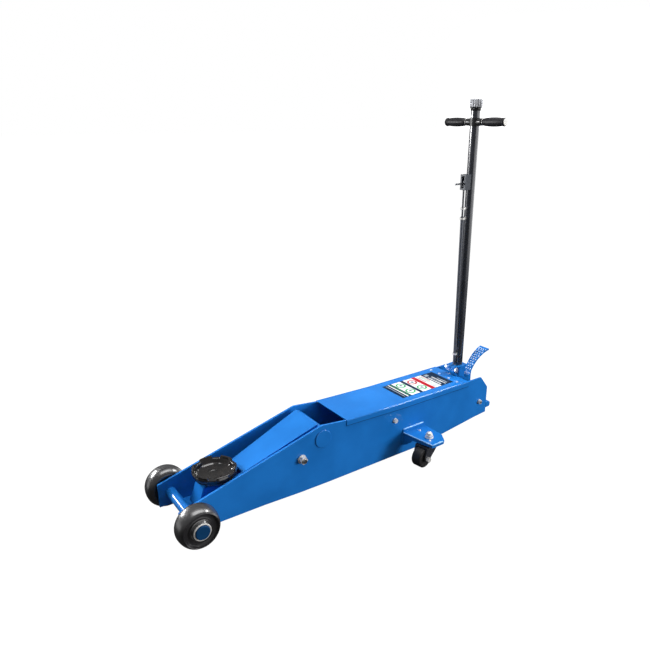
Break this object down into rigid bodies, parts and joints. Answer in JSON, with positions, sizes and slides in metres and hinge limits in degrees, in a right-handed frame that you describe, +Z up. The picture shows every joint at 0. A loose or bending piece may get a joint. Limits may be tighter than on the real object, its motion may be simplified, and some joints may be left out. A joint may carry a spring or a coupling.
{
  "type": "trolley jack",
  "caption": "Long-chassis hydraulic trolley jack with twin side plates, parallel lift arm, round saddle, front wheels, rear casters, T-handle and foot pedal.",
  "frame": {"origin": "on the floor under the centre of the bounding box", "axes": "+X towards the saddle end, +Y to the left, +Z up"},
  "size_m": [1.415, 0.466, 1.3],
  "materials": {
    "blue_paint": "gloss blue enamel",
    "zinc_plate": "bright zinc plate",
    "bright_steel": "ground steel",
    "chrome_plate": "polished chrome",
    "cast_iron_black": "blackened casting",
    "black_paint": "gloss black",
    "wheel_black": "gloss black",
    "caster_tyre": "satin",
    "grip_rubber": "satin moulded",
    "black_plastic": "satin",
    "panel_print": "satin printed sheet"
  },
  "bodies": {
    "chassis": {"left_side_plate": "blue_paint", "right_side_plate": "blue_paint", "cross_plates": "blue_paint", "rear_tie_bar": "blue_paint", "top_cover": "blue_paint", "cover_screws": "blue_paint", "pivot_bosses": "blue_paint", "arm_pivot_shaft": "bright_steel", "front_axle": "blue_paint", "axle_end_caps": "blue_paint", "hub_washers": "zinc_plate", "left_caster_bracket": "blue_paint", "right_caster_bracket": "blue_paint", "caster_kingpins": "bright_steel", "caster_dome_nuts": "zinc_plate", "link_anchor_shaft": "bright_steel", "link_anchor_nuts": "zinc_plate", "unit_mount_bolts": "zinc_plate", "hinge_shaft": "bright_steel", "hinge_nuts": "zinc_plate", "oil_tank": "blue_paint", "ram_cylinder": "blue_paint", "pump_block": "cast_iron_black", "return_springs": "bright_steel"},
    "arm": {"lift_arm": "blue_paint", "crank_pin": "zinc_plate", "saddle_pin": "zinc_plate"},
    "yoke": {"saddle_yoke": "blue_paint", "yoke_link_pin": "zinc_plate"},
    "saddle": {"saddle": "cast_iron_black"},
    "links": {"left_link_bar": "blue_paint", "right_link_bar": "blue_paint"},
    "ram": {"ram_rod": "chrome_plate", "ram_crosshead": "cast_iron_black"},
    "left_front_wheel": {"left_front_wheel": "wheel_black"},
    "right_front_wheel": {"right_front_wheel": "wheel_black"},
    "left_caster": {"left_caster_fork": "black_paint", "left_caster_axle": "zinc_plate"},
    "left_caster_wheel": {"left_caster_wheel": "caster_tyre"},
    "right_caster": {"right_caster_fork": "black_paint", "right_caster_axle": "zinc_plate"},
    "right_caster_wheel": {"right_caster_wheel": "caster_tyre"},
    "handle": {"handle_socket": "blue_paint", "handle_tube": "black_paint", "handle_cap": "black_plastic", "cross_bar": "black_paint", "left_grip": "grip_rubber", "right_grip": "grip_rubber", "pinch_bolt": "zinc_plate", "pump_roller": "zinc_plate", "lock_block": "cast_iron_black", "lock_tube": "bright_steel", "rod_guides": "zinc_plate"},
    "lock_rod": {"lock_rod": "zinc_plate"},
    "release_knob": {"release_knob": "chrome_plate", "release_rod": "bright_steel"},
    "valve": {"valve_spindle": "bright_steel"},
    "pedal": {"foot_pedal": "blue_paint"},
    "hand_pump": {"hand_plunger": "chrome_plate"},
    "pedal_pump": {"pedal_plunger": "chrome_plate"}
  },
  "joints": [
    {"name": "lift", "type": "hinge", "parent": "chassis", "child": "arm", "pos_m": [0.1515, 0, 0.193], "axis": [0, -1, 0], "range_deg": [0, 70]},
    {"name": "yoke_level", "type": "hinge", "parent": "arm", "child": "yoke", "pos_m": [0.4875, 0, 0.1], "axis": [0, -1, 0], "range_deg": [-70.5, 0.5]},
    {"name": "link_swing", "type": "hinge", "parent": "chassis", "child": "links", "pos_m": [0.2385, 0, 0.143], "axis": [0, -1, 0], "range_deg": [-0.5, 70.5]},
    {"name": "ram_slide", "type": "slide", "parent": "chassis", "child": "ram", "axis": [1, 0, 0], "range_m": [-0.0005, 0.1272], "deforming": ["return_springs"]},
    {"name": "saddle_swivel", "type": "hinge", "parent": "yoke", "child": "saddle", "pos_m": [0.5155, 0, 0.119], "axis": [0, 0, 1], "continuous": true},
    {"name": "left_wheel_spin", "type": "hinge", "parent": "chassis", "child": "left_front_wheel", "pos_m": [0.6375, 0.1335, 0.07], "axis": [0, 1, 0], "continuous": true},
    {"name": "right_wheel_spin", "type": "hinge", "parent": "chassis", "child": "right_front_wheel", "pos_m": [0.6375, -0.1335, 0.07], "axis": [0, 1, 0], "continuous": true},
    {"name": "left_caster_swivel", "type": "hinge", "parent": "chassis", "child": "left_caster", "pos_m": [-0.27, 0.182, 0.088], "axis": [0, 0, 1], "continuous": true},
    {"name": "left_caster_spin", "type": "hinge", "parent": "left_caster", "child": "left_caster_wheel", "pos_m": [-0.22901, 0.18849, 0.037], "axis": [-0.1564, 0.9877, 0], "continuous": true},
    {"name": "right_caster_swivel", "type": "hinge", "parent": "chassis", "child": "right_caster", "pos_m": [-0.27, -0.182, 0.088], "axis": [0, 0, 1], "continuous": true},
    {"name": "right_caster_spin", "type": "hinge", "parent": "right_caster", "child": "right_caster_wheel", "pos_m": [-0.22901, -0.18849, 0.037], "axis": [0.1564, 0.9877, 0], "continuous": true},
    {"name": "handle_pump", "type": "hinge", "parent": "chassis", "child": "handle", "pos_m": [-0.6375, 0, 0.112], "axis": [0, -1, 0], "range_deg": [0, 60]},
    {"name": "hand_pump_stroke", "type": "slide", "parent": "chassis", "child": "hand_pump", "axis": [1, 0, 0], "range_m": [-0.0005, 0.0329]},
    {"name": "pedal_press", "type": "hinge", "parent": "chassis", "child": "pedal", "pos_m": [-0.6375, 0.063, 0.112], "axis": [0, -1, 0], "range_deg": [0, 25]},
    {"name": "pedal_pump_stroke", "type": "slide", "parent": "chassis", "child": "pedal_pump", "axis": [1, 0, 0], "range_m": [-0.0005, 0.0149]},
    {"name": "knob_turn", "type": "hinge", "parent": "handle", "child": "release_knob", "pos_m": [-0.5995, 0, 1.283], "axis": [0, 0, 1], "range_deg": [0, 180]},
    {"name": "valve_turn", "type": "hinge", "parent": "chassis", "child": "valve", "pos_m": [-0.5825, -0.04, 0.108], "axis": [1, 0, 0], "range_deg": [-0.5, 180.5]},
    {"name": "lock_lift", "type": "slide", "parent": "handle", "child": "lock_rod", "axis": [0.0168, 0, 0.9999], "range_m": [0, 0.014], "stiffness_N_per_m": 200, "springref_m": -0.004}
  ],
  "couplings": [
    {"joint": "yoke_level", "follows": "lift", "ratio": -1},
    {"joint": "link_swing", "follows": "lift", "ratio": 1},
    {"joint": "ram_slide", "follows": "lift", "m_per_rad": 0.10329},
    {"joint": "hand_pump_stroke", "follows": "handle_pump", "m_per_rad": 0.030441},
    {"joint": "pedal_pump_stroke", "follows": "pedal_press", "m_per_rad": 0.031747},
    {"joint": "valve_turn", "follows": "knob_turn", "ratio": 1}
  ]
}
